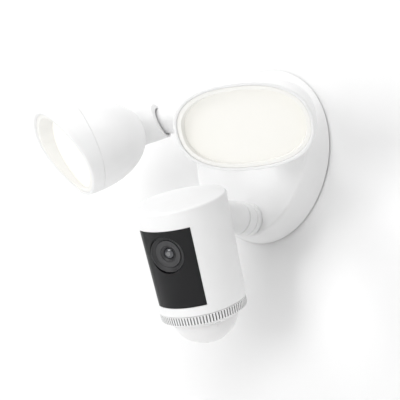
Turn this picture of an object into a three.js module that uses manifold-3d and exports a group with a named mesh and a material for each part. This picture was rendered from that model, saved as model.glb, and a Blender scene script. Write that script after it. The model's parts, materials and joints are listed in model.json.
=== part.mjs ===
// Wall-mounted floodlight security camera: a shallow base on the wall, two floodlight heads on
// curved arms, and a cylindrical camera below them. Each head and the camera turn on a ball.
//
// Millimetres. +Z is up, the wall is the plane Y = 0, the front faces -Y, and +X is to the right
// of a person who looks at the front. The origin is the middle of the mounting bracket's back.
import * as THREE from "three";
import { mergeVertices } from "three/addons/utils/BufferGeometryUtils.js";
import Module from "manifold-3d";

const wasm = await Module();
wasm.setup();

// ---------------------------------------------------------------- driving dimensions
const DEG = Math.PI / 180;
const GAP = 0.3; // clearance between pieces that meet

// Base: an egg-shaped dish that tapers from the wall to a flat front face.
const BASE = {
  depth: 20,
  wall: 2.4,
  edge: 1.4, // rounding of the front edge
  crown: 3.2, // how far the sloping side swells between the wall and the face
  back: { halfWidth: 63.3, halfHeight: 70, centreZ: 4.5, egg: 0.042 },
  front: { halfWidth: 54.2, halfHeight: 56.5, centreZ: -4.6, egg: 0.149 },
  rearEdge: 0.6, // the cover's rim stands this far off the wall
};
const GASKET = { thick: 3, inset: 7, band: 8 };
const BACK_PLATE = { rear: 3.3, thick: 2, inset: 3 };
const WIRE_ENTRY = { x: 24, z: 12, radius: 8 };
const BRACKET = { width: 22, height: 96, thick: 2, screwSpacing: 88.9, holeRadius: 2.6, slotHalf: 4 };
const SCREW_RELIEF = 5.4; // radius of the openings in the back plate over the bracket's screws
const BRACKET_SCREW = { shank: 2, head: 4.6, headThick: 2.4, tip: 0.2 };
const GROUND_SCREW = { z: 14, shank: 1.9, head: 4.2, headThick: 2.2, tip: 0.2, hole: 2.2 };
const COVER_SCREW = { x: 30, zUpper: 36, zLower: -32, shank: 1.4, head: 2.8, boss: 3.6 };
const COVER_SCREW_REACH = { head: 1.2, neck: 2.6, tip: 14, pilot: 17 }; // distances from the wall

// Power supply on the back plate; sizes are [along X, along Y, along Z].
const POWER_BOARD = { size: [50, 1.6, 40], rear: 6.4, z: -18 };
const TRANSFORMER = { size: [20, 8.6, 17], x: -14, z: -21 };
const CAPACITOR = { radius: 4, length: 18, x: 14, z: -29 };
const TERMINAL_BLOCK = { size: [24, 8.4, 9], x: 12, z: -5, wirePitch: 7.5, wireHole: 4.4, holeDepth: 5.5 };

// Ball joints, the same for both lamps and the camera.
const BALL_RADIUS = 11;
const LINER = { inner: 11.3, outer: 12.2, halfAngle: 34, wireHole: 3.5 };
const HOOD = { inner: 12.6, outer: 14, mouthSetBack: 4.6 };

// Lamp arms.
const ARM = {
  rootX: 24,
  rootZ: 20,
  rootRadius: 12.6,
  flangeRadius: 15,
  flangeThick: 3,
  spigotRadius: 8,
  spigotDepth: 8,
  leave: 18, // how strongly the arm leaves the base straight forwards
  arrive: 22, // how strongly it arrives along ARM_END
  shoulder: 3, // how late it narrows to the ball
};
const ARM_NUT = { radius: 12, thick: 4.4 };
const LAMP_BALL = { x: 48.6, y: -62.6, z: 31.2 };
const ARM_END = new THREE.Vector3(0.78, 0.61, 0.12).normalize(); // from the left ball to the base

// How each lamp is set on its ball: turned outwards, turned down, and rolled about its own axis.
const LAMP_POSE = {
  left: { pan: 39.4, tilt: 17.7, roll: 11.9 },
  right: { pan: 27.3, tilt: 19.1, roll: -4.2 },
};

// Lamp head, measured from its ball: the rim is in front of it and slightly below.
const LAMP = {
  rimY: -87.4,
  rimZ: -5.4,
  halfWidth: 48.9,
  halfHeight: 32.6,
  roundness: 2.38, // exponent of the oval: 2 is an ellipse
  depth: 66.3, // rim centre to the rear of the bowl
  shoulder: 2.61,
  tail: 2.04,
  wall: 2.6,
  overhang: 17, // how far the visor reaches past the rim centre
};
// Planes across a lamp head: how deep behind the rim's centre, and how far they lean forward at
// the top, like a visor. The front shell and the rear housing meet at the seam.
const RIM_PLANE = { depth: 0, lean: 24.3 };
const LENS_PLANE = { depth: 7.5, lean: 16 };
const SEAM_PLANE = { depth: 18.9, lean: 8.8 };
const NECK = { rootRadius: 15.4, rootY: -34, boreRadius: 6.5, waistRadius: 14.8, waistY: -18 };
const MOUTH_LEAN = new THREE.Vector3(0.485, 0.874, 0).normalize(); // the left neck's open end

// Camera, measured from its ball: the cylinder's axis is in front of the ball.
const CAMERA_BALL = { y: -57.2, z: -48.4 };
const CAMERA = {
  pan: 9.5,
  tilt: 24.9,
  axisY: -49.5,
  centreZ: -16,
  topRadius: 35,
  ventRadius: 33,
  top: 45,
  ventTop: -34.8,
  ventBottom: -41.6,
  skirtRadius: 31.6,
  wall: 2.5,
  edge: 1.5,
};
const PANEL = { halfAngle: 37.7, top: 31.3, bottom: -27.3 };
const LENS = {
  z: 13.4,
  ringFront: -31.7, // the flat ring lies in the round wall, flush with it at its sides
  ringRadius: 13.6,
  ringDepth: 7,
  bevel: 0.5,
  glassRadius: 10.2,
  elementRadius: 4.4,
  elementBulge: 1.6,
  elementEdge: 1.2,
  setBack: 1.4, // barrel face behind the ring's face
  funnel: 1.6,
  seat: 3.4, // where the front element sits behind the barrel's face
  barrelLength: 12.2,
};
const VENT_RING = { wallTop: 2.4, wallBottom: 1.9, taper: 0.5 };
const VENT_SLOTS = { count: 48, width: 1.6, height: 5.6, reach: 8 };
const DOME = { radius: 24.6, top: -46, bottom: -66.2, wall: 1.8, taper: 1.12, fullness: 1.1 };
const BUTTON = { radius: 4.6, z: -14, face: 33.2, thick: 4, travel: 0.8 };
const CABLE_HOLE = 7; // radius of the hole in the shell's back, behind the ball
const CAMERA_COLLAR = { radius: 13, length: 14 };
const CAMERA_SHAFT = { radius: 12.5, length: 12 }; // between the collar and the ball
const SOCKET = { rootRadius: 17.4, rootY: -19, waistRadius: 15.4, waistY: -12 };

// Pieces inside the camera, measured from the middle of the cylinder.
const BOARD_THICK = 1.6;
const MAIN_BOARD = { width: 46, height: 56, y: 16, z: 8 };
const HEAT_SPREADER = { size: [30, 4, 30], z: 8 };
const IMAGE_BOARD = { width: 30, height: 26, y: -16.9 };
const NIGHT_LIGHT = { width: 7, height: 22, x: 18, y: -20, z: 2, led: [3, 2.2, 3], ledZ: 6 };
const SPEAKER = { front: -24, rear: -10, frontRadius: 16, rearRadius: 12, waist: -14, cone: 14.4 };
const SENSOR_BOARD = { radius: 22, bottom: -45.2 };
const SENSOR = { radius: 4.6, bottom: -50.6 };
const SWITCH = { size: [6, 4, 6], stemRadius: 1.7 };

const SEGMENTS = { round: 28, egg: 36, hole: 16, small: 8, oval: 28, ball: 16, cup: 24, arm: 16 };

// ---------------------------------------------------------------- materials
const material = (color, roughness, metalness = 0) =>
  new THREE.MeshStandardMaterial({ color, roughness, metalness });
const WHITE = material(0xf2f2f0, 0.45);
const WHITE_INNER = material(0xdedcd8, 0.6);
const LENS_WHITE = material(0xfffbe8, 0.3);
const REFLECTOR = material(0xf6f6f4, 0.2, 0.2);
const BLACK_GLOSS = material(0x17181a, 0.15);
const BLACK_MATT = material(0x26272a, 0.6);
const GLASS = material(0x14161c, 0.05);
const STEEL = material(0xb8babd, 0.35, 0.9);
const ALUMINIUM = material(0xa7a9ac, 0.45, 0.8);
const RUBBER = material(0x3a3b3d, 0.9);
const SILICONE = material(0xd4d4d2, 0.8);
const BOARD_GREEN = material(0x1f5b3a, 0.5);
const NYLON = material(0xc9cbcd, 0.5);
const FERRITE = material(0x4a4642, 0.7);
const SWITCH_GREY = material(0x8b8d90, 0.5);

// ---------------------------------------------------------------- solids
// A closed three.js geometry as a manifold-3d solid with its faces pointing out.
function solid(geometry) {
  const bare = geometry.clone();
  bare.deleteAttribute("normal");
  bare.deleteAttribute("uv");
  const merged = mergeVertices(bare, 1e-4);
  const vertProperties = new Float32Array(merged.attributes.position.array);
  const triVerts = new Uint32Array(merged.index.array);
  const make = () => new wasm.Manifold(new wasm.Mesh({ numProp: 3, vertProperties, triVerts }));
  const first = make();
  if (first.volume() >= 0) return first;
  for (let i = 0; i < triVerts.length; i += 3) {
    [triVerts[i + 1], triVerts[i + 2]] = [triVerts[i + 2], triVerts[i + 1]];
  }
  return make();
}

function geometryOf(manifold) {
  const mesh = manifold.getMesh();
  const geometry = new THREE.BufferGeometry();
  const stride = mesh.numProp;
  const count = mesh.vertProperties.length / stride;
  const positions = new Float32Array(count * 3);
  for (let i = 0; i < count; i++) {
    for (let axis = 0; axis < 3; axis++) {
      positions[3 * i + axis] = mesh.vertProperties[stride * i + axis];
    }
  }
  geometry.setAttribute("position", new THREE.BufferAttribute(positions, 3));
  geometry.setIndex(new THREE.BufferAttribute(new Uint32Array(mesh.triVerts), 1));
  geometry.computeVertexNormals();
  return geometry;
}

const unite = (...parts) => parts.reduce((all, part) => all.add(part));
const cut = (body, ...tools) => tools.reduce((rest, tool) => rest.subtract(tool), body);

// A solid through rings of points, each ring with the same number of points.
function loft(rings) {
  const count = rings[0].length;
  const positions = rings.flat().flatMap((p) => [p.x, p.y, p.z]);
  const index = [];
  for (let r = 0; r < rings.length - 1; r++) {
    for (let i = 0; i < count; i++) {
      const a = r * count + i;
      const b = r * count + ((i + 1) % count);
      index.push(a, b, a + count, b, b + count, a + count);
    }
  }
  const last = (rings.length - 1) * count;
  for (let i = 1; i < count - 1; i++) {
    index.push(0, i + 1, i);
    index.push(last, last + i, last + i + 1);
  }
  const geometry = new THREE.BufferGeometry();
  geometry.setAttribute("position", new THREE.Float32BufferAttribute(positions, 3));
  geometry.setIndex(index);
  return solid(geometry);
}

// A solid of revolution about Z from [radius, z] pairs that start and end on the axis or close.
function turned(profile, segments = SEGMENTS.round) {
  const points = profile.map(([radius, z]) => new THREE.Vector2(radius, z));
  return solid(new THREE.LatheGeometry(points, segments).rotateX(Math.PI / 2));
}

// A solid of revolution about Y from [radius, y] pairs.
function turnedY(profile, segments = SEGMENTS.round) {
  const points = profile.map(([radius, y]) => new THREE.Vector2(radius, y));
  return solid(new THREE.LatheGeometry(points, segments));
}

function box(size, centre) {
  return solid(new THREE.BoxGeometry(...size).translate(...centre));
}

// A cylinder along Y between two depths.
function rodY(radius, y0, y1, x = 0, z = 0, segments = SEGMENTS.round) {
  const geometry = new THREE.CylinderGeometry(radius, radius, Math.abs(y1 - y0), segments);
  return solid(geometry.translate(x, (y0 + y1) / 2, z));
}

// A cylinder along Z between two heights.
function rodZ(radius, z0, z1, x = 0, y = 0, segments = SEGMENTS.round) {
  const geometry = new THREE.CylinderGeometry(radius, radius, Math.abs(z1 - z0), segments);
  return solid(geometry.rotateX(Math.PI / 2).translate(x, y, (z0 + z1) / 2));
}

const ball = (radius, segments = SEGMENTS.ball) =>
  solid(new THREE.SphereGeometry(radius, segments, segments / 2));

// Everything on the far side of a plane: the plane's normal points into the removed space.
function halfSpace(normal, offset) {
  const size = 400;
  const geometry = new THREE.BoxGeometry(size, size, size).translate(0, 0, size / 2 + offset);
  const turn = new THREE.Quaternion().setFromUnitVectors(new THREE.Vector3(0, 0, 1), normal);
  return solid(geometry.applyQuaternion(turn));
}

function node(name, shape, look) {
  const mesh = new THREE.Mesh(geometryOf(shape), look);
  mesh.name = name;
  return mesh;
}

// ---------------------------------------------------------------- base
// One ring of the base's egg outline, shrunk by inset, at a distance from the wall.
function eggRing(outline, distance, inset = 0) {
  const ring = [];
  for (let i = 0; i < SEGMENTS.egg; i++) {
    const angle = (i / SEGMENTS.egg) * 2 * Math.PI;
    const bulge = 1 + outline.egg * Math.sin(angle);
    const x = (outline.halfWidth - inset) * Math.cos(angle) * bulge;
    const z = outline.centreZ + (outline.halfHeight - inset) * Math.sin(angle);
    ring.push(new THREE.Vector3(x, -distance, z));
  }
  return ring;
}

// The outline part of the way from the wall (0) to the front face (1), with a slight crown.
function baseOutline(share) {
  const mix = (key) => THREE.MathUtils.lerp(BASE.back[key], BASE.front[key], share);
  const crown = BASE.crown * share * (1 - share);
  return {
    halfWidth: mix("halfWidth") + crown,
    halfHeight: mix("halfHeight") + crown,
    centreZ: mix("centreZ"),
    egg: mix("egg"),
  };
}

function baseBody(inset, from, to, roundEdge) {
  const rings = [];
  const steps = 5;
  const straight = roundEdge ? to - BASE.edge : to;
  for (let i = 0; i <= steps; i++) {
    const distance = THREE.MathUtils.lerp(from, straight, i / steps);
    rings.push(eggRing(baseOutline(distance / BASE.depth), distance, inset));
  }
  if (roundEdge) {
    for (const angle of [45, 90]) {
      const back = BASE.edge * (1 - Math.cos(angle * DEG));
      const distance = straight + BASE.edge * Math.sin(angle * DEG);
      rings.push(eggRing(baseOutline(distance / BASE.depth), distance, inset + back));
    }
  }
  return loft(rings);
}

function makeBaseCover() {
  const outer = baseBody(0, BASE.rearEdge, BASE.depth, true);
  const inner = baseBody(BASE.wall, BASE.rearEdge - 1, BASE.depth - BASE.wall, false);
  const plateFront = BACK_PLATE.rear + BACK_PLATE.thick;
  const roots = [[-ARM.rootX, ARM.rootZ], [ARM.rootX, ARM.rootZ], [0, CAMERA_BALL.z]];
  const armHoles = roots.map(([x, z]) =>
    rodY(ARM.spigotRadius + GAP, -BASE.depth - 1, -10, x, z, SEGMENTS.hole),
  );
  const screwBosses = coverScrewPlaces().map(([x, z]) =>
    rodY(COVER_SCREW.boss, -BASE.depth + 1, -plateFront - GAP, x, z, SEGMENTS.small),
  );
  const pilots = coverScrewPlaces().map(([x, z]) =>
    rodY(COVER_SCREW.shank + GAP, -COVER_SCREW_REACH.pilot, 0, x, z, SEGMENTS.small),
  );
  return cut(unite(cut(outer, inner), ...screwBosses), ...armHoles, ...pilots);
}

function coverScrewPlaces() {
  const places = [];
  for (const side of [-1, 1]) {
    places.push([side * COVER_SCREW.x, COVER_SCREW.zUpper]);
    places.push([side * COVER_SCREW.x, COVER_SCREW.zLower]);
  }
  return places;
}

function makeGasket() {
  const outline = baseOutline(0);
  const ring = (inset) => loft([
    eggRing(outline, 0, inset),
    eggRing(outline, GASKET.thick, inset),
  ]);
  const hole = loft([
    eggRing(outline, -1, GASKET.inset + GASKET.band),
    eggRing(outline, GASKET.thick + 1, GASKET.inset + GASKET.band),
  ]);
  return cut(ring(GASKET.inset), hole);
}

function makeBackPlate() {
  const outline = baseOutline((BACK_PLATE.rear + BACK_PLATE.thick) / BASE.depth);
  const rear = BACK_PLATE.rear;
  const front = rear + BACK_PLATE.thick;
  const plate = loft([
    eggRing(outline, rear, BACK_PLATE.inset),
    eggRing(outline, front, BACK_PLATE.inset),
  ]);
  const entry = rodY(WIRE_ENTRY.radius, -front - 1, 1, WIRE_ENTRY.x, WIRE_ENTRY.z, SEGMENTS.small);
  const holes = coverScrewPlaces().map(([x, z]) =>
    rodY(COVER_SCREW.shank + GAP, -front - 1, 1, x, z, SEGMENTS.small),
  );
  const half = BRACKET.screwSpacing / 2;
  const screwRelief = [half, -half, GROUND_SCREW.z].map((z) =>
    rodY(SCREW_RELIEF, -front - 1, 1, 0, z, SEGMENTS.small),
  );
  return cut(plate, entry, ...holes, ...screwRelief);
}

function makeBracket() {
  const bar = box([BRACKET.width, BRACKET.thick, BRACKET.height], [0, -BRACKET.thick / 2, 0]);
  const half = BRACKET.screwSpacing / 2;
  const rear = -BRACKET.thick - 1;
  const slots = [half, -half].map((z) =>
    unite(
      rodY(BRACKET.holeRadius, rear, 1, -BRACKET.slotHalf, z, SEGMENTS.small),
      rodY(BRACKET.holeRadius, rear, 1, BRACKET.slotHalf, z, SEGMENTS.small),
      box([2 * BRACKET.slotHalf, 3 * BRACKET.thick, 2 * BRACKET.holeRadius], [0, -1, z]),
    ),
  );
  const groundHole = rodY(GROUND_SCREW.hole, rear, 1, 0, GROUND_SCREW.z, SEGMENTS.small);
  return cut(bar, ...slots, groundHole);
}

// A slotted pan-head screw through the bracket: its head is in front of it.
function bracketScrew(z, screw) {
  const headRear = BRACKET.thick + GAP;
  const headFront = headRear + screw.headThick;
  const head = rodY(screw.head, -headFront, -headRear, 0, z, SEGMENTS.small);
  const shank = rodY(screw.shank, -headRear - 0.5, -screw.tip, 0, z, SEGMENTS.small);
  const slot = box([screw.head * 1.4, 1, 0.7], [0, -headFront, z]);
  return cut(unite(head, shank), slot);
}

function makeBase() {
  const group = new THREE.Group();
  const add = (name, shape, look) => group.add(node(name, shape, look));
  add("base_cover", makeBaseCover(), WHITE);
  add("wall_gasket", makeGasket(), RUBBER);
  add("base_back_plate", makeBackPlate(), WHITE_INNER);
  add("mounting_bracket", makeBracket(), STEEL);
  const half = BRACKET.screwSpacing / 2;
  add("bracket_screw_upper", bracketScrew(half, BRACKET_SCREW), STEEL);
  add("bracket_screw_lower", bracketScrew(-half, BRACKET_SCREW), STEEL);
  add("ground_screw", bracketScrew(GROUND_SCREW.z, GROUND_SCREW), BOARD_GREEN);
  const reach = COVER_SCREW_REACH;
  const headFront = -BACK_PLATE.rear + GAP;
  coverScrewPlaces().forEach(([x, z], i) => {
    const shank = rodY(COVER_SCREW.shank, -reach.tip, -reach.neck, x, z, SEGMENTS.small);
    const head = rodY(COVER_SCREW.head, headFront, -reach.head, x, z, SEGMENTS.small);
    add("cover_screw_" + (i + 1), unite(shank, head), STEEL);
  });
  makePowerSupply(group);
  return group;
}

function makePowerSupply(group) {
  const add = (name, shape, look) => group.add(node(name, shape, look));
  const thick = POWER_BOARD.size[1];
  const stand = POWER_BOARD.rear + thick + GAP;
  const onBoard = (piece) => [piece.x, -stand - piece.size[1] / 2, piece.z];
  const board = box(POWER_BOARD.size, [0, -POWER_BOARD.rear - thick / 2, POWER_BOARD.z]);
  add("power_board", board, BOARD_GREEN);
  add("transformer", box(TRANSFORMER.size, onBoard(TRANSFORMER)), FERRITE);
  const { radius, length } = CAPACITOR;
  const can = new THREE.CylinderGeometry(radius, radius, length, SEGMENTS.small);
  can.rotateZ(Math.PI / 2).translate(CAPACITOR.x, -stand - radius, CAPACITOR.z);
  add("filter_capacitor", solid(can), BLACK_MATT);
  const [x, y, z] = onBoard(TERMINAL_BLOCK);
  const { size, wirePitch, wireHole, holeDepth } = TERMINAL_BLOCK;
  const holeZ = z + size[2] / 2;
  const wireHoles = [-wirePitch, 0, wirePitch].map((step) =>
    box([wireHole, wireHole, 2 * holeDepth], [x + step, y, holeZ]),
  );
  add("terminal_block", cut(box(size, [x, y, z]), ...wireHoles), SWITCH_GREY);
}

// ---------------------------------------------------------------- arms and ball joints
// An arm's foot on the base's front face: a flange outside and a spigot through the cover.
function armFoot(x, z, flangeRadius, flangeThick) {
  const face = -BASE.depth - GAP;
  return unite(
    rodY(flangeRadius, face - flangeThick, face, x, z),
    rodY(ARM.spigotRadius, face - 1, face + ARM.spigotDepth, x, z, SEGMENTS.hole),
  );
}

function makeArmNut(x, z) {
  const face = -BASE.depth + BASE.wall + GAP;
  const rear = face + ARM_NUT.thick;
  const nut = new THREE.CylinderGeometry(ARM_NUT.radius, ARM_NUT.radius, ARM_NUT.thick, 6);
  nut.rotateY(30 * DEG).translate(x, (face + rear) / 2, z);
  const hole = rodY(ARM.spigotRadius + GAP, face - 1, rear + 1, x, z, SEGMENTS.hole);
  return cut(solid(nut), hole);
}

// A curved lamp arm: its own side is -1 for left and 1 for right.
function makeLampArm(side) {
  const centre = new THREE.Vector3(side * LAMP_BALL.x, LAMP_BALL.y, LAMP_BALL.z);
  const inward = new THREE.Vector3(-side * ARM_END.x, ARM_END.y, ARM_END.z);
  const rootY = -BASE.depth - GAP - ARM.flangeThick / 2 - 0.5;
  const start = new THREE.Vector3(side * ARM.rootX, rootY, ARM.rootZ);
  const path = new THREE.CubicBezierCurve3(
    start,
    start.clone().add(new THREE.Vector3(0, -ARM.leave, 0)),
    centre.clone().addScaledVector(inward, ARM.arrive),
    centre,
  );
  const steps = 9;
  const frames = path.computeFrenetFrames(steps, false);
  const rings = [];
  for (let i = 0; i <= steps; i++) {
    const share = i / steps;
    const shoulder = Math.sqrt(1 - share ** ARM.shoulder);
    const radius = THREE.MathUtils.lerp(BALL_RADIUS, ARM.rootRadius, shoulder);
    const at = path.getPointAt(share);
    const ring = [];
    for (let k = 0; k < SEGMENTS.arm; k++) {
      const angle = (k / SEGMENTS.arm) * 2 * Math.PI;
      const point = at.clone();
      point.addScaledVector(frames.normals[i], radius * Math.cos(angle));
      point.addScaledVector(frames.binormals[i], radius * Math.sin(angle));
      ring.push(point);
    }
    rings.push(ring);
  }
  const foot = armFoot(start.x, start.z, ARM.flangeRadius, ARM.flangeThick);
  const end = ball(BALL_RADIUS).translate([centre.x, centre.y, centre.z]);
  return unite(foot, loft(rings), end);
}

function makeCameraArm() {
  const foot = -BASE.depth - 2 * GAP - CAMERA_COLLAR.length;
  const shoulder = foot - CAMERA_SHAFT.length;
  const shaft = turnedY([
    [0, CAMERA_BALL.y],
    [BALL_RADIUS, CAMERA_BALL.y],
    [CAMERA_SHAFT.radius, shoulder],
    [CAMERA_SHAFT.radius, foot],
    [0, foot],
  ]).translate([0, 0, CAMERA_BALL.z]);
  const rear = -BASE.depth + ARM.spigotDepth;
  const core = rodY(ARM.spigotRadius, foot - 1, rear, 0, CAMERA_BALL.z, SEGMENTS.hole);
  const end = ball(BALL_RADIUS).translate([0, CAMERA_BALL.y, CAMERA_BALL.z]);
  return unite(shaft, core, end);
}

function makeCameraCollar() {
  const face = -BASE.depth - GAP;
  const sleeve = rodY(CAMERA_COLLAR.radius, face - CAMERA_COLLAR.length, face, 0, CAMERA_BALL.z);
  return cut(sleeve, rodY(ARM.spigotRadius + GAP, -60, 0, 0, CAMERA_BALL.z, SEGMENTS.hole));
}

// A thin nylon cap on the ball, on the side away from the arm; toArm points to the arm.
function makeLiner(toArm) {
  const shell = cut(ball(LINER.outer), ball(LINER.inner, SEGMENTS.cup));
  const keep = LINER.inner * Math.cos(LINER.halfAngle * DEG);
  const bare = halfSpace(toArm, -keep);
  const away = toArm.clone().negate();
  const geometry = new THREE.CylinderGeometry(LINER.wireHole, LINER.wireHole, 20, SEGMENTS.small);
  const turn = new THREE.Quaternion().setFromUnitVectors(new THREE.Vector3(0, 1, 0), away);
  geometry.translate(0, 10, 0).applyQuaternion(turn);
  return cut(shell, bare, solid(geometry));
}

// The hollow round end of a neck, open on the arm's side.
function openHood(body, toArm) {
  return cut(body, ball(HOOD.inner, SEGMENTS.cup), halfSpace(toArm, -HOOD.mouthSetBack));
}

// ---------------------------------------------------------------- lamp head
// One oval section of the bowl at a depth behind the rim's centre, shrunk by inset.
function bowlRing(depth, inset) {
  const length = LAMP.depth - inset;
  const share = Math.max(0, depth) / length;
  const scale = (1 - share ** LAMP.shoulder) ** (1 / LAMP.tail);
  const power = 2 / LAMP.roundness;
  const ring = [];
  for (let i = 0; i < SEGMENTS.oval; i++) {
    const angle = (i / SEGMENTS.oval) * 2 * Math.PI;
    const cos = Math.cos(angle);
    const sin = Math.sin(angle);
    const x = Math.sign(cos) * Math.abs(cos) ** power * (LAMP.halfWidth - inset) * scale;
    const z = Math.sign(sin) * Math.abs(sin) ** power * (LAMP.halfHeight - inset) * scale;
    ring.push(new THREE.Vector3(x, LAMP.rimY + depth, LAMP.rimZ + z));
  }
  return ring;
}

const bowl = (depths, inset) => loft(depths.map((depth) => bowlRing(depth, inset)));

// The space in front of one of the lamp's planes, moved back by an offset.
function inFrontOf(plane, offset = 0) {
  const lean = plane.lean * DEG;
  const normal = new THREE.Vector3(0, -Math.cos(lean), -Math.sin(lean));
  const centre = new THREE.Vector3(0, LAMP.rimY + plane.depth, LAMP.rimZ);
  return halfSpace(normal, centre.dot(normal) - offset);
}

// The part of a body behind one half space and inside another.
const slice = (body, near, far) => cut(body, near).intersect(far);

const FRONT_DEPTHS = [-LAMP.overhang, 0, 12, 20, 27];
const REAR_DEPTHS = [12, 20, 27, 34, 41, 48, 54, 59.5, 63.5, 65.6];
const CAVITY_DEPTHS = [11, 20, 27, 34, 41, 48, 54, 58.5, 61.6];
const LENS_THICK = 2;
const BEZEL = { setBack: 1.2, thick: 2.8 };
const SEAL = { half: 3, thick: 2.4 };
const REFLECTOR_WALL = 1.6;
const REFLECTOR_DEPTHS = { front: -2, waist: 12, back: 27.9 };
const LED_BOARD = { size: [50, 1.6, 26], depth: 30.9 };
const LED = { size: [5, 1.4, 5], columns: [-18, -6, 6, 18], rows: [-7, 7] };
const SINK = { size: [54, 3, 30], fin: [1.6, 10, 28], pitch: 7.4, finsPerSide: 3 };

function makeFrontShell() {
  const outer = bowl(FRONT_DEPTHS, 0);
  const inner = bowl([-LAMP.overhang - 1, 0, 12, 20, 28], LAMP.wall);
  return slice(cut(outer, inner), inFrontOf(RIM_PLANE), inFrontOf(SEAM_PLANE, -GAP / 2));
}

function makeRearHousing(mouth) {
  const outer = cut(bowl(REAR_DEPTHS, 0), inFrontOf(SEAM_PLANE, GAP / 2));
  const neck = turnedY([
    [0, NECK.rootY],
    [NECK.rootRadius, NECK.rootY],
    [NECK.waistRadius, NECK.waistY],
    [HOOD.outer, -3],
    [HOOD.outer, 0],
    [0, 0],
  ]);
  const body = unite(outer, neck, ball(HOOD.outer));
  const cavity = bowl(CAVITY_DEPTHS, LAMP.wall);
  const bore = rodY(NECK.boreRadius, NECK.rootY, 0, 0, 0, SEGMENTS.small);
  return openHood(cut(body, cavity, bore), mouth);
}

function makeSeal() {
  const tongue = LAMP.wall + GAP;
  const band = cut(bowl([8, 18, 32], tongue), bowl([7, 18, 33], tongue + SEAL.thick));
  return slice(band, inFrontOf(SEAM_PLANE, -SEAL.half), inFrontOf(SEAM_PLANE, SEAL.half));
}

function makeBezel() {
  const gap = LAMP.wall + GAP;
  const tube = cut(
    bowl([-LAMP.overhang, 0, 14, 30], gap),
    bowl([-LAMP.overhang - 1, 0, 14, 31], gap + BEZEL.thick),
  );
  return slice(tube, inFrontOf(RIM_PLANE, BEZEL.setBack), inFrontOf(LENS_PLANE, -GAP));
}

function makeLens() {
  const plate = bowl([-LAMP.overhang, 0, 14, 30], LAMP.wall + GAP);
  return slice(plate, inFrontOf(LENS_PLANE), inFrontOf(LENS_PLANE, LENS_THICK));
}

// The reflector's rim follows the slanted lens, and it narrows to the LED board.
function makeReflector() {
  const { front, waist, back } = REFLECTOR_DEPTHS;
  const cone = (extra, inset) => loft([
    bowlRing(front - extra, LAMP.wall + inset + 3.4),
    bowlRing(waist, LAMP.wall + inset + 5),
    bowlRing(back + extra, LAMP.wall + inset + 17),
  ]);
  const shell = cut(cone(0, 0), cone(1, REFLECTOR_WALL));
  return cut(shell, inFrontOf(LENS_PLANE, LENS_THICK + GAP));
}

function makeLedBoard() {
  const y = LAMP.rimY + LED_BOARD.depth;
  const plate = box(LED_BOARD.size, [0, y, LAMP.rimZ]);
  const chipY = y - (LED_BOARD.size[1] + LED.size[1]) / 2 + 0.3;
  const chips = LED.columns.flatMap((x) =>
    LED.rows.map((z) => box(LED.size, [x, chipY, LAMP.rimZ + z])),
  );
  return unite(plate, ...chips);
}

function makeHeatSink() {
  const boardRear = LAMP.rimY + LED_BOARD.depth + LED_BOARD.size[1] / 2;
  const front = boardRear + GAP;
  const plate = box(SINK.size, [0, front + SINK.size[1] / 2, LAMP.rimZ]);
  const finY = front + SINK.size[1] - 1 + SINK.fin[1] / 2;
  const fins = [];
  for (let i = -SINK.finsPerSide; i <= SINK.finsPerSide; i++) {
    fins.push(box(SINK.fin, [i * SINK.pitch, finY, LAMP.rimZ]));
  }
  return unite(plate, ...fins);
}

function makeLamp(side) {
  const name = side < 0 ? "left" : "right";
  const group = new THREE.Group();
  group.position.set(side * LAMP_BALL.x, LAMP_BALL.y, LAMP_BALL.z);
  const pose = LAMP_POSE[name];
  group.rotation.set(pose.tilt * DEG, side * pose.roll * DEG, side * pose.pan * DEG, "ZXY");
  const mouth = new THREE.Vector3(-side * MOUTH_LEAN.x, MOUTH_LEAN.y, MOUTH_LEAN.z);
  const add = (piece, shape, look) => group.add(node(name + "_lamp_" + piece, shape, look));
  add("rear_housing", makeRearHousing(mouth), WHITE);
  add("front_shell", makeFrontShell(), WHITE);
  add("seal", makeSeal(), SILICONE);
  add("bezel", makeBezel(), WHITE);
  add("lens", makeLens(), LENS_WHITE);
  add("reflector", makeReflector(), REFLECTOR);
  add("led_board", makeLedBoard(), WHITE_INNER);
  add("heat_sink", makeHeatSink(), ALUMINIUM);
  add("ball_liner", makeLiner(mouth), NYLON);
  return group;
}

// ---------------------------------------------------------------- camera
// The cylinder's outer radius tapers slightly downwards.
function shellRadius(height) {
  const share = (CAMERA.top - height) / (CAMERA.top - CAMERA.ventTop);
  return THREE.MathUtils.lerp(CAMERA.topRadius, CAMERA.ventRadius, share);
}

// The shell's wall: closed at the top, open at the bottom.
function shellWall() {
  const { top, edge, wall } = CAMERA;
  const bottom = CAMERA.ventTop + GAP;
  return turned([
    [0, top],
    [CAMERA.topRadius - edge, top],
    [CAMERA.topRadius - edge * 0.3, top - edge * 0.3],
    [shellRadius(top - edge), top - edge],
    [shellRadius(bottom), bottom],
    [shellRadius(bottom) - wall, bottom],
    [shellRadius(top) - wall, top - wall],
    [0, top - wall],
  ]);
}

// A wedge of the cylinder, centred on the front.
function frontWedge(halfAngle, bottom, top) {
  const shape = new THREE.Shape();
  const start = -Math.PI / 2 - halfAngle * DEG;
  const end = -Math.PI / 2 + halfAngle * DEG;
  shape.absarc(0, 0, 45, start, end, false);
  shape.absarc(0, 0, 25, end, start, true);
  const options = { depth: top - bottom, bevelEnabled: false, curveSegments: 12 };
  return solid(new THREE.ExtrudeGeometry(shape, options).translate(0, 0, bottom));
}

function makeCameraShell() {
  const slack = GAP / shellRadius(0) / DEG;
  const window = frontWedge(PANEL.halfAngle + slack, PANEL.bottom - GAP, PANEL.top + GAP);
  const cableHole = rodY(CABLE_HOLE, 20, 40, 0, -CAMERA.centreZ, SEGMENTS.hole);
  const buttonHole = rodY(BUTTON.radius + GAP, 20, 40, 0, BUTTON.z, SEGMENTS.hole);
  return cut(shellWall(), window, cableHole, buttonHole);
}

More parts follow.
